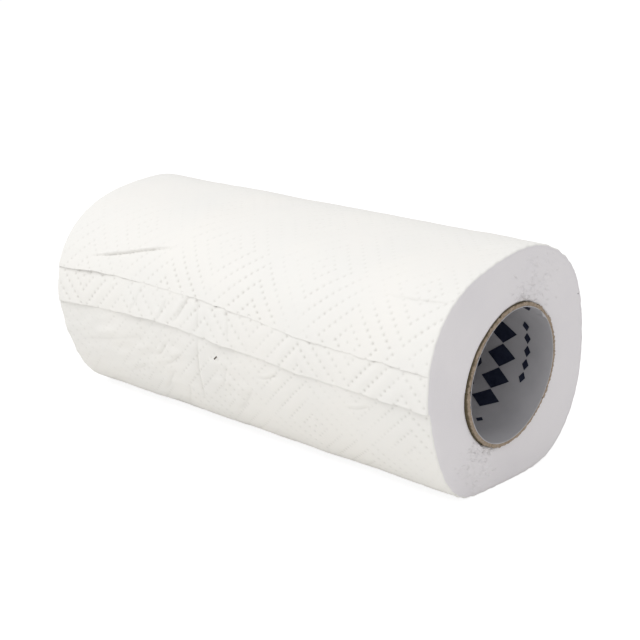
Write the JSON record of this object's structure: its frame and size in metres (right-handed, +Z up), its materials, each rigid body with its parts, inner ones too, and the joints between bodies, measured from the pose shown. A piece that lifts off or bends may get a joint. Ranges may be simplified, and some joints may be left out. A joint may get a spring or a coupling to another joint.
{
  "type": "paper towel roll",
  "caption": "Soft, slightly squashed roll of embossed two-ply paper towel on a wide cardboard core, lying on its side with the loose end of the sheet on the front.",
  "frame": {"origin": "centre of the bounding box in X and Y, at the floor the roll lies on", "axes": "+X along the roll, towards the end where the core stands out of the paper; +Z up; the loose end of the sheet is on the -Y side"},
  "size_m": [0.2214, 0.1052, 0.0959],
  "materials": {
    "paper": "matt white embossed tissue",
    "core": "matt grey-brown board"
  },
  "bodies": {
    "root": {"paper_roll": "paper", "cardboard_core": "core"}
  },
  "joints": []
}
